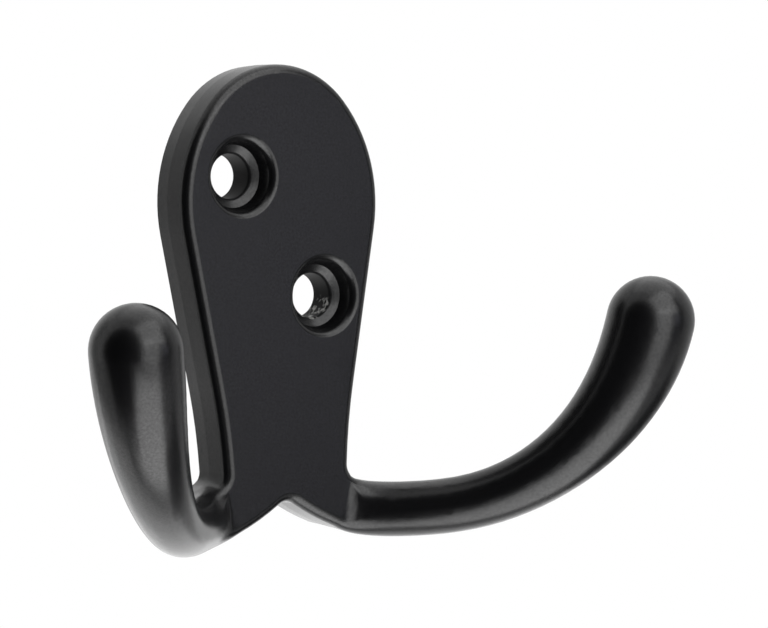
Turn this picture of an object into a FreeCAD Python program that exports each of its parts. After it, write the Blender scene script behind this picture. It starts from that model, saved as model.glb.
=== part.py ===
import FreeCAD, Part
import math
import os

# Double robe hook, die-cast in one piece: a pear-shaped wall plate that narrows to a neck, with
# two prongs that leave its foot to either side, dip, and turn up into thick round ends.
#
# Millimetres, +Z up. The plate's flat back lies on the wall plane y = 0 and the hook stands out
# along -Y. The origin is on the wall plane, midway between the two screw holes.

Vector = FreeCAD.Vector
ORIGIN = Vector(0, 0, 0)
ACROSS = Vector(1, 0, 0)
FORWARD = Vector(0, -1, 0)
UPWARD = Vector(0, 0, 1)

# Wall plate
PLATE_THICKNESS = 5.75
HEAD_TOP = 19.1             # top of the plate above the origin
HEAD_RADIUS = 11.75         # crown of the head
CHEEK_BULGE = 1.35          # how far the head's sides stand out past its crown
CHEEK_RADIUS = 17.3
NECK_SLOPE = 10.9           # of the straight run from the head to the neck, degrees
NECK_WIDTH = 16.5           # where the neck is narrowest
NECK_RADIUS = 67.0
FRONT_EDGE_RADIUS = 1.1     # rounding all along the front edge
PARTING_DEPTH = 2.15        # of the casting's parting line, in front of the wall
BACK_DRAFT = 3.0            # taper of the sides behind the parting line, degrees

# Foot of the plate, where the prongs leave it
NOTCH_TOP = -29.6           # crown of the notch between the prongs
NOTCH_RADIUS = 2.0
FLANK_RADIUS = 30.0         # from the notch on to the underside of the foot
FOOT_SLOPE = 20.0           # fall of the foot's end, degrees
FOOT_HEIGHT = 6.0           # across the foot's end
FLARE_RADIUS = 1.6          # from the neck's side on to the top of the foot
FOOT_SHORT = 1.0            # how far the plate ends short of the flare's end

# Screw holes, set on a slant: the upper one to the left, the lower one to the right
HOLE_OFFSET_Z = 6.82        # above and below the origin
HOLE_WEB = 1.19             # left between the lower hole's mouth and the plate's side
HOLE_RADIUS = 2.5
RIM_RADIUS = 1.0            # rounding of the mouth
RIM_PROUD = 0.01            # how far that rounding starts in front of the face, so that it cuts cleanly
MOUTH_RADIUS = 3.9          # wall of the recess just below that rounding
SEAT_RADIUS = 3.5           # foot of the recess, where the seat for the screw head begins
SEAT_DEPTH = 2.1            # below the front face
SEAT_ANGLE = 62.0           # of the seat's cone from the hole's axis
SEAT_EDGE_RADIUS = 0.5      # rounding from the seat into the hole

# Prongs
PRONG_SPLAY = 44.1          # from straight ahead, degrees
BEND_RADIUS = 27.35         # of the prong's centreline
LOW_REACH = 9.28            # along the prong, from the middle of the foot's end to the lowest place
LOW_ASIDE = 1.1             # how far that place lies outward of the foot's end
LOW_DROP = 0.85             # and how far below it
BEND_START = 5.0            # slope of the centreline where the round bend begins, degrees
BEND_END = 76.2             # and where the round end begins
PRONG_RADIUS = 3.1          # at the start of the bend
TIP_RADIUS = 4.95
SWELL_EXPONENT = 1.3        # how late the prong thickens
ROOT_LEAVING = 3.9          # pull of the foot's direction on the first run of the prong
ROOT_ARRIVING = 6.5         # pull of the bend's direction on the same run

# Places along the prong's first run, each with how far its section has gone from the foot's to a round one
ROOT_STATIONS = ((0, 0), (0.1, 0.04), (0.2, 0.15), (0.32, 0.36), (0.48, 0.7), (0.65, 0.93), (0.83, 1.0))
BEND_STATIONS = 9
FUSE_TOLERANCE = 0.01       # edges of the plate and a prong that lie this near each other become one


def plane_point(x, z):
    """Return a point of the wall plane."""
    return Vector(x, 0, z)


def arc_about(centre, radius, start, end):
    """Return the arc in the wall plane from one angle to another, in radians."""
    points = []
    for angle in (start, (start + end) / 2, end):
        points.append(centre + plane_point(math.cos(angle), math.sin(angle)) * radius)
    return Part.Arc(*points).toShape()


def line(start, end):
    """Return a straight edge."""
    return Part.LineSegment(start, end).toShape()


def angle_of(offset):
    """Return the direction of an offset in the wall plane, in radians."""
    return math.atan2(offset.z, offset.x)


def mirrored(shape):
    """Return the left-hand twin of a right-hand shape."""
    return shape.mirror(ORIGIN, ACROSS)


def foot_directions():
    """Return the foot's outward and upward directions in the wall plane."""
    slope = math.radians(FOOT_SLOPE)
    outward = plane_point(math.cos(slope), -math.sin(slope))
    upward = plane_point(math.sin(slope), math.cos(slope))
    return outward, upward


def circle_crossing(first, first_radius, second, second_radius):
    """Return where two circles in the wall plane cross, to the right of the way from first to second."""
    way = second - first
    span = way.Length
    along = (span ** 2 + first_radius ** 2 - second_radius ** 2) / (2 * span)
    aside = math.sqrt(first_radius ** 2 - along ** 2)
    ahead = way * (1 / span)
    return first + ahead * along + plane_point(ahead.z, -ahead.x) * aside


def head_centres():
    """Return the centres of the crown and of the right cheek."""
    crown = plane_point(0, HEAD_TOP - HEAD_RADIUS)
    cheek_x = HEAD_RADIUS + CHEEK_BULGE - CHEEK_RADIUS
    cheek_drop = math.sqrt((CHEEK_RADIUS - HEAD_RADIUS) ** 2 - cheek_x ** 2)
    return crown, plane_point(cheek_x, crown.z - cheek_drop)


def neck_run():
    """Return the ends of the straight run from the head to the neck, and the neck's centre."""
    slope = math.radians(NECK_SLOPE)
    outward = plane_point(math.cos(slope), -math.sin(slope))
    start = head_centres()[1] + outward * CHEEK_RADIUS
    end_x = NECK_WIDTH / 2 + NECK_RADIUS * (1 - math.cos(slope))
    end = plane_point(end_x, start.z - (start.x - end_x) / math.tan(slope))
    return start, end, end + outward * NECK_RADIUS


def foot_centres():
    """Return the centres of the notch, of its right flank and of the right flare."""
    notch = plane_point(0, NOTCH_TOP - NOTCH_RADIUS)
    upward = foot_directions()[1]
    # The flare lies this far up from the flank, and touches the neck's side.
    lift = upward * (FOOT_HEIGHT + FLARE_RADIUS - FLANK_RADIUS)
    neck = neck_run()[2]
    flank = circle_crossing(neck - lift, NECK_RADIUS - FLARE_RADIUS, notch, NOTCH_RADIUS + FLANK_RADIUS)
    return notch, flank, flank + lift


def foot_end(inset):
    """Return the top and bottom corners of the foot's right end, for an outline drawn in by inset."""
    outward, upward = foot_directions()
    flank, flare = foot_centres()[1:]
    flare_height = math.sqrt((FLARE_RADIUS + inset) ** 2 - FOOT_SHORT ** 2)
    flank_height = math.sqrt((FLANK_RADIUS - inset) ** 2 - FOOT_SHORT ** 2)
    top = flare - outward * FOOT_SHORT - upward * flare_height
    bottom = flank - outward * FOOT_SHORT - upward * flank_height
    return top, bottom


def half_outline(inset):
    """Return the edges of the plate's right half, from top to notch, drawn in by inset."""
    crown, cheek = head_centres()
    run_start, run_end, neck = neck_run()
    notch, flank, flare = foot_centres()
    top, bottom = foot_end(inset)
    upright = math.pi / 2
    crown_end = angle_of(crown - cheek)
    cheek_end = angle_of(run_start - cheek)
    inward = (cheek - run_start).normalize() * inset
    neck_start = cheek_end + math.pi
    neck_end = angle_of(flare - neck) % (2 * math.pi)
    flare_end = angle_of(top - flare) + 2 * math.pi
    notch_start = angle_of(flank - notch)
    return [
        arc_about(crown, HEAD_RADIUS - inset, upright, crown_end),
        arc_about(cheek, CHEEK_RADIUS - inset, crown_end, cheek_end),
        line(run_start + inward, run_end + inward),
        arc_about(neck, NECK_RADIUS + inset, neck_start, neck_end),
        arc_about(flare, FLARE_RADIUS + inset, neck_end, flare_end),
        line(top, bottom),
        arc_about(flank, FLANK_RADIUS - inset, angle_of(bottom - flank), notch_start - math.pi),
        arc_about(notch, NOTCH_RADIUS + inset, notch_start, upright),
    ]


def outline(inset, depth):
    """Return the plate's whole outline, drawn in by inset, at a depth in front of the wall."""
    half = half_outline(inset)
    other = [mirrored(edge) for edge in half]
    wire = Part.Wire(Part.__sortEdges__(half + other))
    wire.translate(FORWARD * depth)
    return wire


def back_inset():
    """Return how far the draft draws the outline in at the wall."""
    return PARTING_DEPTH * math.tan(math.radians(BACK_DRAFT))


def is_front_edge(edge, ends):
    """Tell whether an edge lies on the front face and isn't the end of a foot."""
    box = edge.BoundBox
    on_front = abs(box.YMin + PLATE_THICKNESS) < 1e-4 and abs(box.YMax + PLATE_THICKNESS) < 1e-4
    middle = edge.CenterOfMass
    at_end = any((middle - end).Length < 1e-3 for end in ends)
    return on_front and not at_end


def wall_plate():
    """Return the plate with its front edge rounded and the ends of its feet left flat."""
    sections = [outline(back_inset(), 0), outline(0, PARTING_DEPTH), outline(0, PLATE_THICKNESS)]
    plate = Part.makeLoft(sections, True, True)
    top, bottom = foot_end(0)
    end = (top + bottom) * 0.5 + FORWARD * PLATE_THICKNESS
    ends = (end, Vector(-end.x, end.y, end.z))
    front = [edge for edge in plate.Edges if is_front_edge(edge, ends)]
    return plate.makeFillet(FRONT_EDGE_RADIUS, front)


def foot_top(inset, left):
    """Return the height of the foot's top, drawn in by inset, with some way left to the flare's end."""
    return FOOT_HEIGHT / 2 + FLARE_RADIUS - math.sqrt((FLARE_RADIUS + inset) ** 2 - left ** 2)


def foot_bottom(inset, left):
    """Return the height of the foot's underside at the same place."""
    return FLANK_RADIUS - FOOT_HEIGHT / 2 - math.sqrt((FLANK_RADIUS - inset) ** 2 - left ** 2)


def foot_points(left):
    """Return start, middle and end of the eight edges of a section through the foot, about its centre."""
    wide = PLATE_THICKNESS / 2
    inner = wide - FRONT_EDGE_RADIUS
    rounding = FRONT_EDGE_RADIUS * math.sqrt(0.5)
    # Each corner of a side has its depth and how far it is drawn in, from the back to the front.
    side = ((-wide, back_inset()), (PARTING_DEPTH - wide, 0), (inner, 0), (wide, FRONT_EDGE_RADIUS))
    low = [(u, foot_bottom(inset, left)) for u, inset in side]
    high = [(u, foot_top(inset, left)) for u, inset in reversed(side)]
    corners = low + high
    points = []
    for start, end in zip(corners, corners[1:] + corners[:1]):
        middle = ((start[0] + end[0]) / 2, (start[1] + end[1]) / 2)
        points.append([start, middle, end])
    points[2][1] = (inner + rounding, foot_bottom(FRONT_EDGE_RADIUS - rounding, left))
    points[4][1] = (inner + rounding, foot_top(FRONT_EDGE_RADIUS - rounding, left))
    return points


def round_points(radius):
    """Return start, middle and end of the eight arcs of a round section that match the foot's."""
    points = []
    corners = (-135, -111, -87, -4, 4, 87, 111, 135, 225)
    for start, end in zip(corners, corners[1:]):
        arc = []
        for degrees in (start, (start + end) / 2, end):
            angle = math.radians(degrees)
            arc.append((radius * math.cos(angle), radius * math.sin(angle)))
        points.append(arc)
    return points


def prong_section(centre, direction, radius, roundness, left=0.0):
    """Return the prong's section at a place, from the foot's (0) to a round one (1)."""
    forward = Vector(direction.y, -direction.x, 0).normalize()
    upward = forward.cross(direction)
    edges = []
    for flat, curved in zip(foot_points(left), round_points(radius)):
        arc = []
        for (flat_u, flat_v), (curved_u, curved_v) in zip(flat, curved):
            u = flat_u + (curved_u - flat_u) * roundness
            v = flat_v + (curved_v - flat_v) * roundness
            arc.append(centre + forward * u + upward * v)
        bow = (arc[1] - (arc[0] + arc[2]) * 0.5).Length
        edges.append(line(arc[0], arc[2]) if bow < 1e-6 else Part.Arc(*arc).toShape())
    return Part.Wire(edges)


def foot_middle():
    """Return the middle of the foot where the flare runs out."""
    upward = foot_directions()[1]
    flare = foot_centres()[2]
    return flare - upward * (FLARE_RADIUS + FOOT_HEIGHT / 2) + FORWARD * (PLATE_THICKNESS / 2)


def bend_place(slope):
    """Return the centreline's place and direction on the bend, at a slope in radians."""
    splay = math.radians(PRONG_SPLAY)
    ahead = Vector(math.sin(splay), -math.cos(splay), 0)
    aside = Vector(math.cos(splay), math.sin(splay), 0)
    reach = LOW_REACH + BEND_RADIUS * math.sin(slope)
    rise = BEND_RADIUS * (1 - math.cos(slope)) - LOW_DROP
    place = foot_middle() + ahead * reach + aside * LOW_ASIDE + UPWARD * rise
    direction = ahead * math.cos(slope) + UPWARD * math.sin(slope)
    return place, direction


def root_curve():
    """Return the centreline's first run, from the foot's end to the start of the bend."""
    outward = foot_directions()[0]
    start = foot_middle() - outward * FOOT_SHORT
    end, direction = bend_place(math.radians(BEND_START))
    curve = Part.BezierCurve()
    curve.setPoles([start, start + outward * ROOT_LEAVING, end - direction * ROOT_ARRIVING, end])
    return curve


def swell(share):
    """Return the prong's radius at a share of the bend."""
    late = share ** SWELL_EXPONENT
    return PRONG_RADIUS + (TIP_RADIUS - PRONG_RADIUS) * late ** 2 * (3 - 2 * late)


def prong():
    """Return the right prong, from the plate's end to its round end."""
    sections = []
    root = root_curve()
    for share, roundness in ROOT_STATIONS:
        direction = Vector(root.tangent(share)[0])
        left = max(0, FOOT_SHORT - root.length(0, share))
        sections.append(prong_section(root.value(share), direction, PRONG_RADIUS, roundness, left))
    for index in range(BEND_STATIONS):
        share = index / (BEND_STATIONS - 1)
        slope = math.radians(BEND_START + (BEND_END - BEND_START) * share)
        place, direction = bend_place(slope)
        sections.append(prong_section(place, direction, swell(share), 1.0))
    arm = Part.makeLoft(sections, True)
    end = Part.makeSphere(TIP_RADIUS, place, direction, 0, 90, 360)
    return arm.fuse(end)


def hole_offset_x():
    """Return how far each hole lies to its side, so that the lower one keeps off the plate's edge."""
    start = neck_run()[0]
    side = start.x - (start.z + HOLE_OFFSET_Z) * math.tan(math.radians(NECK_SLOPE))
    return side - HOLE_WEB - RIM_RADIUS - MOUTH_RADIUS


def seat_edge():
    """Return start, middle and end of the rounding from the seat into the hole, as radius and depth."""
    angle = math.radians(SEAT_ANGLE)
    corner = SEAT_DEPTH + (SEAT_RADIUS - HOLE_RADIUS) / math.tan(angle)
    reach = SEAT_EDGE_RADIUS * math.tan(angle / 2)
    start = (HOLE_RADIUS + reach * math.sin(angle), corner - reach * math.cos(angle))
    end = (HOLE_RADIUS, corner + reach)
    centre_r = HOLE_RADIUS + SEAT_EDGE_RADIUS
    middle_r = centre_r - SEAT_EDGE_RADIUS * math.cos(angle / 2)
    middle_d = corner + reach - SEAT_EDGE_RADIUS * math.sin(angle / 2)
    return start, (middle_r, middle_d), end


def screw_hole(x, z):
    """Return what a screw hole takes out of the plate, from the front face to the wall."""
    over = 1.0

    def at(radius, depth):
        return Vector(radius, depth - PLATE_THICKNESS, 0)

    rim = MOUTH_RADIUS + RIM_RADIUS
    rounding = RIM_RADIUS * math.sqrt(0.5)
    wall = RIM_RADIUS - RIM_PROUD
    mouth = Part.Arc(at(rim, -RIM_PROUD), at(rim - rounding, wall - rounding), at(MOUTH_RADIUS, wall))
    seat_start, seat_middle, seat_end = seat_edge()
    into_hole = Part.Arc(at(*seat_start), at(*seat_middle), at(*seat_end))
    edges = [
        line(at(0, -over), at(rim, -over)),
        line(at(rim, -over), at(rim, -RIM_PROUD)),
        mouth.toShape(),
        line(at(MOUTH_RADIUS, wall), at(SEAT_RADIUS, SEAT_DEPTH)),
        line(at(SEAT_RADIUS, SEAT_DEPTH), at(*seat_start)),
        into_hole.toShape(),
        line(at(*seat_end), at(HOLE_RADIUS, PLATE_THICKNESS + over)),
        line(at(HOLE_RADIUS, PLATE_THICKNESS + over), at(0, PLATE_THICKNESS + over)),
        line(at(0, PLATE_THICKNESS + over), at(0, -over)),
    ]
    cutter = Part.Face(Part.Wire(edges)).revolve(ORIGIN, FORWARD, 360)
    cutter.translate(Vector(x, 0, z))
    return cutter


def trimmed_at_wall(body):
    """Return a body with whatever lies behind the wall plane cut off."""
    box = body.BoundBox
    behind = Part.makeBox(box.XLength, 1.0, box.ZLength, Vector(box.XMin, 0, box.ZMin))
    return body.cut(behind)


def robe_hook():
    """Return the whole casting."""
    aside = hole_offset_x()
    plate = wall_plate()
    right = trimmed_at_wall(prong())
    plate = plate.cut(screw_hole(-aside, HOLE_OFFSET_Z))
    plate = plate.cut(screw_hole(aside, -HOLE_OFFSET_Z))
    return plate.fuse([right, mirrored(right)], FUSE_TOLERANCE).removeSplitter().Solids[0]


hook = robe_hook()
os.makedirs("parts", exist_ok=True)
hook.exportStep("parts/robe_hook.step")
print(f"robe_hook: valid {hook.isValid()}, {len(hook.Faces)} faces, {hook.Volume / 1000:.2f} cm3")
print(f"screw holes {2 * math.hypot(hole_offset_x(), HOLE_OFFSET_Z):.3f} mm apart")
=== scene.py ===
"""Double robe hook: satin black coating on the cast body, plain studio and camera.

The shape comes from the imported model. This script gives it its finish, and sets up the floor,
the soft light, the cards and the camera. Metres, +Z up, the wall plane at y = 0.
"""
import logging
import math
from dataclasses import dataclass
from enum import Enum

import bpy
from mathutils import Matrix, Vector

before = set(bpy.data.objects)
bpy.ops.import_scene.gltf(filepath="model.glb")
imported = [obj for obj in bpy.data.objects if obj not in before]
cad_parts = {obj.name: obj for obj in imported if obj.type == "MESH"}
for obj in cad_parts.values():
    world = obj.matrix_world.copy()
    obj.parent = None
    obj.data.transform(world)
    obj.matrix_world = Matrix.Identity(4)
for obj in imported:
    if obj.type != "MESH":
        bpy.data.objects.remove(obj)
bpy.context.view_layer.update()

log = logging.getLogger("robe_hook")

MM = 0.001


def linear_colour(hex_code: str) -> tuple[float, float, float, float]:
    """Turn an sRGB hex colour into Blender's linear one.

    Args:
        hex_code: Six hex digits with a leading "#".

    Returns:
        Linear red, green and blue, and an alpha of 1.
    """
    channels = []
    for start in (1, 3, 5):
        value = int(hex_code[start:start + 2], 16) / 255
        channels.append(value / 12.92 if value <= 0.04045 else ((value + 0.055) / 1.055) ** 2.4)
    return (channels[0], channels[1], channels[2], 1.0)


def compass(azimuth: float, elevation: float) -> Vector:
    """Give the direction to a place round the hook.

    Args:
        azimuth: Degrees, 0 straight out from the wall and 90 to the right.
        elevation: Degrees above the horizon.

    Returns:
        A unit vector.
    """
    turn = math.radians(azimuth)
    lift = math.radians(elevation)
    return Vector((math.sin(turn) * math.cos(lift), -math.cos(turn) * math.cos(lift), math.sin(lift)))


def add_node(
    tree: bpy.types.NodeTree,
    kind: str,
    settings: dict[str, object] | None = None,
    inputs: dict[str | int, object] | None = None,
) -> bpy.types.Node:
    """Add a node with its settings and inputs.

    Args:
        tree: The node tree that gets the node.
        kind: The node's type name.
        settings: Attributes of the node, by name.
        inputs: Input sockets by name or number; a value is set, and an output socket is linked.

    Returns:
        The new node.
    """
    node = tree.nodes.new(kind)
    for name, value in (settings or {}).items():
        setattr(node, name, value)
    for name, value in (inputs or {}).items():
        if isinstance(value, bpy.types.NodeSocket):
            tree.links.new(value, node.inputs[name])
        else:
            node.inputs[name].default_value = value
    return node


def flat_sheet(name: str, width: float, height: float) -> bpy.types.Object:
    """Make a flat rectangle about its own middle, facing +Z.

    Args:
        name: The object's name.
        width: Size along X.
        height: Size along Y.

    Returns:
        The object, not yet in the scene.
    """
    right = width / 2
    top = height / 2
    corners = [(-right, -top, 0), (right, -top, 0), (right, top, 0), (-right, top, 0)]
    mesh = bpy.data.meshes.new(name)
    mesh.from_pydata(corners, [], [tuple(range(len(corners)))])
    return bpy.data.objects.new(name, mesh)


def flat_oval(name: str, width: float, height: float, sides: int = 96) -> bpy.types.Object:
    """Make a flat oval about its own middle, facing +Z.

    Args:
        name: The object's name.
        width: Size along X.
        height: Size along Y.
        sides: How many straight sides stand in for the curve.

    Returns:
        The object, not yet in the scene.
    """
    angles = [math.tau * index / sides for index in range(sides)]
    corners = [(math.cos(angle) * width / 2, math.sin(angle) * height / 2, 0) for angle in angles]
    mesh = bpy.data.meshes.new(name)
    mesh.from_pydata(corners, [], [tuple(range(len(corners)))])
    return bpy.data.objects.new(name, mesh)


@dataclass(frozen=True)
class SatinBlackCoating:
    """Black polyester powder, sprayed on a zinc die casting and baked.

    The melted powder covers the metal in a continuous dark skin. It is black all through, shines
    like satin, so that lights show as soft patches, and has the faint grain that the powder leaves.
    In the screw holes, where little powder lands, the skin is thin and rough, and its shine is turned down
    there as painted shade, so that the hole walls reflect darker. In the lower one a screw has rubbed it
    through, so that the bare zinc glints there in small flecks.
    """

    colour: str = "#070708"
    roughness: float = 0.27
    ior: float = 1.5
    gloss: float = 0.35

    # The powder's own grain is too fine to show, so it is drawn a few times as coarse.
    grain_mm: float = 0.26
    grain_height_mm: float = 0.003
    grain_span: tuple[float, float] = (0.3, 0.7)
    grain_gloss: float = 0.18

    # The holes lie on a slant: the lower one to the right of the middle, the upper one as far to the left.
    hole_x_mm: float = 5.298
    hole_z_mm: float = 6.82
    hole_radius_mm: float = 2.5
    hole_edge_mm: tuple[float, float] = (0.06, 0.22)
    hole_roughness: float = 0.6
    # The holes' lower shine is painted shade: it darkens the reflection on the hole walls.
    hole_shade_gloss: float = 0.12

    # The flecks begin at the lower hole's axis and are at their full strength a little below it.
    zinc: str = "#b9b9b6"
    fleck_mm: float = 0.6
    fleck_span: tuple[float, float] = (0.52, 0.72)
    fleck_depth_mm: float = 0.9

    def make(self) -> bpy.types.Material:
        """Build the material.

        Returns:
            The finished material.
        """
        material = bpy.data.materials.new("satin_black_coating")
        material.use_nodes = True
        tree = material.node_tree
        tree.nodes.clear()
        place = add_node(tree, "ShaderNodeTexCoord").outputs["Object"]
        grain = add_node(tree, "ShaderNodeTexNoise", inputs={
            "Vector": place,
            "Scale": 1 / (self.grain_mm * MM),
            "Detail": 2.0,
            "Roughness": 0.5,
        })
        bump = add_node(tree, "ShaderNodeBump", inputs={
            "Height": grain.outputs["Fac"],
            "Strength": 1.0,
            "Distance": self.grain_height_mm * MM,
        })
        lower_wall = self.hole_wall(tree, place, 1)
        upper_wall = self.hole_wall(tree, place, -1)
        in_holes = add_node(tree, "ShaderNodeMath", {"operation": "MAXIMUM"}, {
            0: lower_wall,
            1: upper_wall,
        })
        worn = self.rubbed_through(tree, place, lower_wall)
        roughness = add_node(tree, "ShaderNodeMapRange", inputs={
            "Value": in_holes.outputs["Value"],
            "To Min": self.roughness,
            "To Max": self.hole_roughness,
        })
        grainy_gloss = add_node(tree, "ShaderNodeMapRange", inputs={
            "Value": grain.outputs["Fac"],
            "From Min": self.grain_span[0],
            "From Max": self.grain_span[1],
            "To Min": self.gloss * (1 - self.grain_gloss),
            "To Max": self.gloss * (1 + self.grain_gloss),
        })
        # Painted shade: on the hole walls the shine drops, so that their reflection is darker.
        gloss = add_node(tree, "ShaderNodeMapRange", inputs={
            "Value": in_holes.outputs["Value"],
            "To Min": grainy_gloss.outputs["Result"],
            "To Max": self.hole_shade_gloss,
        })
        # A Mix node repeats its sockets for each type of data: 6 and 7 are its two colours.
        skin = add_node(tree, "ShaderNodeMix", {"data_type": "RGBA"}, {
            0: worn,
            6: linear_colour(self.colour),
            7: linear_colour(self.zinc),
        })
        shader = add_node(tree, "ShaderNodeBsdfPrincipled", inputs={
            "Base Color": skin.outputs[2],
            "Metallic": worn,
            "Roughness": roughness.outputs["Result"],
            "IOR": self.ior,
            "Specular IOR Level": gloss.outputs["Result"],
            "Normal": bump.outputs["Normal"],
        })
        add_node(tree, "ShaderNodeOutputMaterial", inputs={"Surface": shader.outputs["BSDF"]})
        return material

    def hole_wall(
        self, tree: bpy.types.NodeTree, place: bpy.types.NodeSocket, side: int
    ) -> bpy.types.NodeSocket:
        """Mark the wall of one screw hole.

        Args:
            tree: The material's nodes.
            place: The place on the hook.
            side: 1 for the lower hole, on the right, and -1 for the upper one, on the left.

        Returns:
            A socket that is 1 on the wall and 0 elsewhere.
        """
        offset = add_node(tree, "ShaderNodeVectorMath", {"operation": "SUBTRACT"}, {
            0: place,
            1: (side * self.hole_x_mm * MM, 0.0, -side * self.hole_z_mm * MM),
        })
        across = add_node(tree, "ShaderNodeVectorMath", {"operation": "MULTIPLY"}, {
            0: offset.outputs["Vector"],
            1: (1.0, 0.0, 1.0),
        })
        reach = add_node(tree, "ShaderNodeVectorMath", {"operation": "LENGTH"}, {
            0: across.outputs["Vector"],
        })
        wall = add_node(tree, "ShaderNodeMapRange", inputs={
            "Value": reach.outputs["Value"],
            "From Min": (self.hole_radius_mm + self.hole_edge_mm[0]) * MM,
            "From Max": (self.hole_radius_mm + self.hole_edge_mm[1]) * MM,
            "To Min": 1.0,
            "To Max": 0.0,
        })
        return wall.outputs["Result"]

    def rubbed_through(
        self, tree: bpy.types.NodeTree, place: bpy.types.NodeSocket, wall: bpy.types.NodeSocket
    ) -> bpy.types.NodeSocket:
        """Mark the flecks of bare zinc low in the lower screw hole.

        Args:
            tree: The material's nodes.
            place: The place on the hook.
            wall: The socket that marks the lower hole's wall.

        Returns:
            A socket that is 1 on bare metal and 0 on the coating.
        """
        flecks = add_node(tree, "ShaderNodeTexNoise", inputs={
            "Vector": place,
            "Scale": 1 / (self.fleck_mm * MM),
            "Detail": 3.0,
            "Distortion": 0.6,
        })
        bare = add_node(tree, "ShaderNodeMapRange", inputs={
            "Value": flecks.outputs["Fac"],
            "From Min": self.fleck_span[0],
            "From Max": self.fleck_span[1],
        })
        height = add_node(tree, "ShaderNodeSeparateXYZ", inputs={"Vector": place})
        low = add_node(tree, "ShaderNodeMapRange", inputs={
            "Value": height.outputs["Z"],
            "From Min": -self.hole_z_mm * MM,
            "From Max": -(self.hole_z_mm + self.fleck_depth_mm) * MM,
        })
        low_wall = add_node(tree, "ShaderNodeMath", {"operation": "MULTIPLY"}, {
            0: low.outputs["Result"],
            1: wall,
        })
        worn = add_node(tree, "ShaderNodeMath", {"operation": "MULTIPLY"}, {
            0: bare.outputs["Result"],
            1: low_wall.outputs["Value"],
        })
        return worn.outputs["Value"]


@dataclass(frozen=True)
class StagePaint:
    """Flat paint, rolled on the floor and the cards, which shows its colour and no shine."""

    name: str
    colour: str

    def make(self) -> bpy.types.Material:
        """Build the material.

        Returns:
            The finished material.
        """
        material = bpy.data.materials.new(self.name)
        material.use_nodes = True
        tree = material.node_tree
        tree.nodes.clear()
        shader = add_node(tree, "ShaderNodeBsdfPrincipled", inputs={
            "Base Color": linear_colour(self.colour),
            "Roughness": 1.0,
            "Specular IOR Level": 0.0,
        })
        add_node(tree, "ShaderNodeOutputMaterial", inputs={"Surface": shader.outputs["BSDF"]})
        return material


class PanelKind(Enum):
    """What stands round the hook as a panel."""

    SOFTBOX = "softbox"
    CARD = "card"
    ROUND_CARD = "round card"


@dataclass
class Panel:
    """A softbox, or a black or pale card, that faces the hook.

    Its place is given in degrees and as a distance from the point that it faces. A softbox has a
    radiance, and a card has a colour.
    """

    name: str
    kind: PanelKind
    azimuth: float
    elevation: float
    distance: float
    width: float
    height: float
    radiance: float = 0.0
    colour: str = "#000000"

    def build(self, aim: Vector) -> bpy.types.Object:
        """Build the panel and turn it towards the hook.

        Args:
            aim: The point that the panel faces.

        Returns:
            The panel's object.
        """
        if self.kind is PanelKind.SOFTBOX:
            panel = self.softbox()
        else:
            panel = self.card()
        away = compass(self.azimuth, self.elevation)
        panel.location = aim + away * self.distance
        panel.rotation_mode = "QUATERNION"
        panel.rotation_quaternion = (-away).to_track_quat("-Z", "Y")
        panel.visible_camera = False
        bpy.context.scene.collection.objects.link(panel)
        log.info("%s %s, %.0f x %.0f mm", self.kind.value, self.name, self.width / MM, self.height / MM)
        return panel

    def softbox(self) -> bpy.types.Object:
        """Make an area lamp as bright as the panel asks.

        Returns:
            The lamp's object, not yet in the scene.
        """
        lamp = bpy.data.lights.new(self.name, "AREA")
        lamp.shape = "RECTANGLE"
        lamp.size = self.width
        lamp.size_y = self.height
        lamp.energy = self.radiance * math.pi * self.width * self.height
        return bpy.data.objects.new(self.name, lamp)

    def card(self) -> bpy.types.Object:
        """Make a flat painted card, oblong or round.

        Returns:
            The card's object, not yet in the scene.
        """
        if self.kind is PanelKind.ROUND_CARD:
            card = flat_oval(self.name, self.width, self.height)
        else:
            card = flat_sheet(self.name, self.width, self.height)
        card.data.materials.append(StagePaint(self.name, self.colour).make())
        return card


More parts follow.
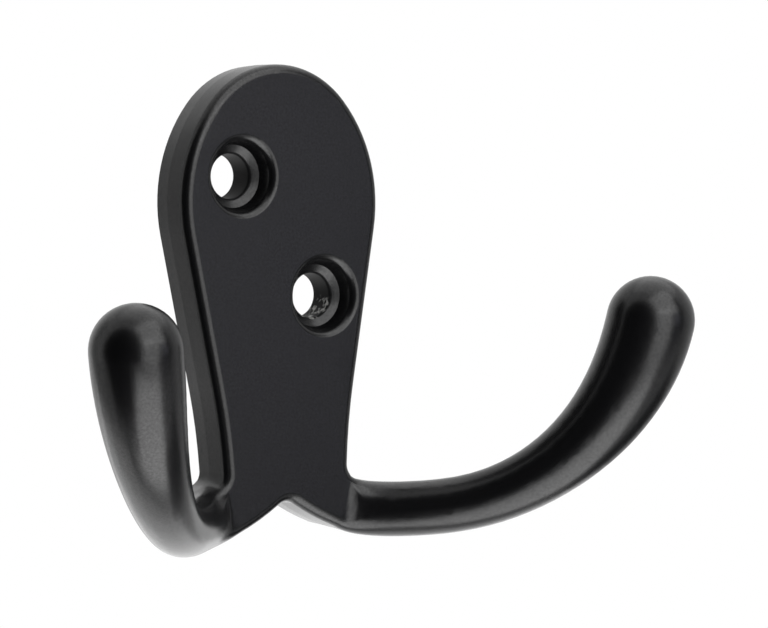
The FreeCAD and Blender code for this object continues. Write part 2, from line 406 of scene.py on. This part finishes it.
@dataclass
class Studio:
    """Pale floor, white surroundings, soft light and cards."""

    aim: Vector
    surroundings: float = 1.0
    floor_drop: float = 0.6
    floor_size: float = 3.0
    floor_colour: str = "#dadada"

    def build(self) -> None:
        """Build everything that stands round the hook."""
        self.build_world()
        self.build_floor()
        for panel in self.panels():
            panel.build(self.aim)

    def build_world(self) -> None:
        """Make the surroundings an even white, which is also the background."""
        world = bpy.data.worlds.new("white_surroundings")
        world.use_nodes = True
        tree = world.node_tree
        tree.nodes.clear()
        sky = add_node(tree, "ShaderNodeBackground", inputs={
            "Color": linear_colour("#ffffff"),
            "Strength": self.surroundings,
        })
        add_node(tree, "ShaderNodeOutputWorld", inputs={"Surface": sky.outputs["Background"]})
        bpy.context.scene.world = world

    def build_floor(self) -> None:
        """Lay a pale floor below the hook."""
        floor = flat_sheet("floor", self.floor_size, self.floor_size)
        floor.location = (self.aim.x, self.aim.y, self.aim.z - self.floor_drop)
        floor.data.materials.append(StagePaint("pale_floor", self.floor_colour).make())
        bpy.context.scene.collection.objects.link(floor)
        log.info("floor %.0f mm square", self.floor_size / MM)

    def panels(self) -> list[Panel]:
        """List the softboxes and cards.

        Returns:
            The panels, not yet built.
        """
        # The numbers in each line: azimuth, elevation, distance, width, height.
        return [
            Panel("key_light", PanelKind.SOFTBOX, 12, 42, 0.6, 0.64, 0.60, radiance=2.2),
            Panel("front_light", PanelKind.SOFTBOX, 0, 0, 0.6, 0.42, 0.62, radiance=2.0),
            Panel("low_light", PanelKind.SOFTBOX, -14, -58, 0.2, 0.2, 0.2, radiance=4.0),
            Panel("rear_light", PanelKind.SOFTBOX, 170, -48, 0.35, 0.6, 0.4, radiance=1.1),
            Panel("top_light", PanelKind.SOFTBOX, 110, 70, 0.7, 0.8, 0.8, radiance=0.7),
            Panel("black_card", PanelKind.ROUND_CARD, -69, -2, 0.40, 0.80, 1.16),
            Panel("side_card", PanelKind.CARD, -147, 5, 0.5, 0.22, 0.7, colour="#b0b0b0"),
            Panel("cool_card", PanelKind.CARD, 33.5, 2, 0.5, 0.16, 0.19, colour="#edeeff"),
            Panel("shade_card", PanelKind.CARD, 34, -17, 0.5, 0.16, 0.15, colour="#64666e"),
            Panel("dark_strip", PanelKind.CARD, 50, 10, 0.5, 0.115, 0.56, colour="#101010"),
            Panel("low_card", PanelKind.CARD, 80, -44, 0.34, 0.2, 0.2, colour="#303030"),
            Panel("grey_card", PanelKind.CARD, 86, 5, 0.5, 0.6, 0.7, colour="#d0d0d0"),
        ]


@dataclass
class Viewpoint:
    """Camera at the photograph's angle, with a lens that suits a frame of 768 by 628; the frame's size is
    not set here.

    Angles are in degrees, the lens and the sensor in millimetres as Blender has them.
    """

    azimuth: float = -35.92
    elevation: float = 2.77
    roll: float = -1.21
    distance: float = 0.5008
    lens: float = 209.6
    sensor_width: float = 36.0
    nearest: float = 0.01
    farthest: float = 20.0
    aim: tuple[float, float, float] = (11.2 * MM, -8.8 * MM, -9.05 * MM)

    def build(self) -> bpy.types.Object:
        """Build the camera and make it the scene's own.

        Returns:
            The camera's object.
        """
        back = compass(self.azimuth, self.elevation)
        level = Vector((0.0, 0.0, 1.0)).cross(back).normalized()
        upright = back.cross(level)
        roll = math.radians(self.roll)
        right = level * math.cos(roll) + upright * math.sin(roll)
        up = upright * math.cos(roll) - level * math.sin(roll)
        data = bpy.data.cameras.new("camera")
        data.lens = self.lens
        data.sensor_width = self.sensor_width
        data.clip_start = self.nearest
        data.clip_end = self.farthest
        camera = bpy.data.objects.new("camera", data)
        turn = Matrix((right, up, back)).transposed().to_4x4()
        camera.matrix_world = Matrix.Translation(Vector(self.aim) + back * self.distance) @ turn
        bpy.context.scene.collection.objects.link(camera)
        bpy.context.scene.camera = camera
        return camera


@dataclass
class RobeHook:
    """The casting: one coated body."""

    node: str = "robe_hook"
    coating: SatinBlackCoating = SatinBlackCoating()

    # Points of neighbouring faces that lie this close together are joined, for the shading.
    seam_mm: float = 0.002

    # Edges that fold more than this stay sharp, and so does the parting line, this far from the wall.
    crease_degrees: float = 28.0
    parting_line_mm: float = 2.15

    def dress(self) -> bpy.types.Object:
        """Give the cast body its coating.

        Returns:
            The body's object.
        """
        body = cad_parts[self.node]
        body.data.materials.clear()
        body.data.materials.append(self.coating.make())
        self.shade_evenly(body)
        log.info("%s: %d faces", self.node, len(body.data.polygons))
        return body

    def shade_evenly(self, body: bpy.types.Object) -> None:
        """Shade the body in one sweep where its faces run smoothly into each other.

        Args:
            body: The body's object; only modifiers are added to it.
        """
        seams = body.modifiers.new("closed_seams", "NODES")
        seams.node_group = self.closed_seams()
        normals = body.modifiers.new("even_normals", "WEIGHTED_NORMAL")
        normals.mode = "FACE_AREA_WITH_ANGLE"
        normals.keep_sharp = True

    def closed_seams(self) -> bpy.types.NodeTree:
        """Close the seams between faces, and leave only real creases and the parting line sharp.

        Returns:
            The nodes that do it.
        """
        tree = bpy.data.node_groups.new("closed_seams", "GeometryNodeTree")
        for side in ("INPUT", "OUTPUT"):
            tree.interface.new_socket("Geometry", in_out=side, socket_type="NodeSocketGeometry")
        source = add_node(tree, "NodeGroupInput")
        closed = add_node(tree, "GeometryNodeMergeByDistance", inputs={
            "Geometry": source.outputs["Geometry"],
            "Distance": self.seam_mm * MM,
        })
        fold = add_node(tree, "GeometryNodeInputMeshEdgeAngle")
        crease = add_node(tree, "FunctionNodeCompare", {"operation": "GREATER_THAN"}, {
            "A": fold.outputs["Unsigned Angle"],
            "B": math.radians(self.crease_degrees),
        })
        position = add_node(tree, "GeometryNodeInputPosition")
        place = add_node(tree, "ShaderNodeSeparateXYZ", inputs={"Vector": position.outputs["Position"]})
        parting_line = add_node(tree, "FunctionNodeCompare", {"operation": "EQUAL"}, {
            "A": place.outputs["Y"],
            "B": -self.parting_line_mm * MM,
            "Epsilon": self.seam_mm * MM,
        })
        sharp = add_node(tree, "FunctionNodeBooleanMath", {"operation": "OR"}, {
            0: crease.outputs["Result"],
            1: parting_line.outputs["Result"],
        })
        shaded = add_node(tree, "GeometryNodeSetMeshNormal", {"mode": "SHARPNESS"}, {
            "Mesh": closed.outputs["Geometry"],
            "Edge Sharpness": sharp.outputs["Boolean"],
        })
        add_node(tree, "NodeGroupOutput", inputs={"Geometry": shaded.outputs["Mesh"]})
        return tree


def main() -> None:
    """Build the hook's looks, the studio and the camera."""
    logging.basicConfig(level=logging.INFO, format="%(name)s: %(message)s")
    RobeHook().dress()
    viewpoint = Viewpoint()
    Studio(aim=Vector(viewpoint.aim)).build()
    viewpoint.build()
    bpy.context.scene.view_settings.view_transform = "Standard"


if __name__ == "__main__":
    main()
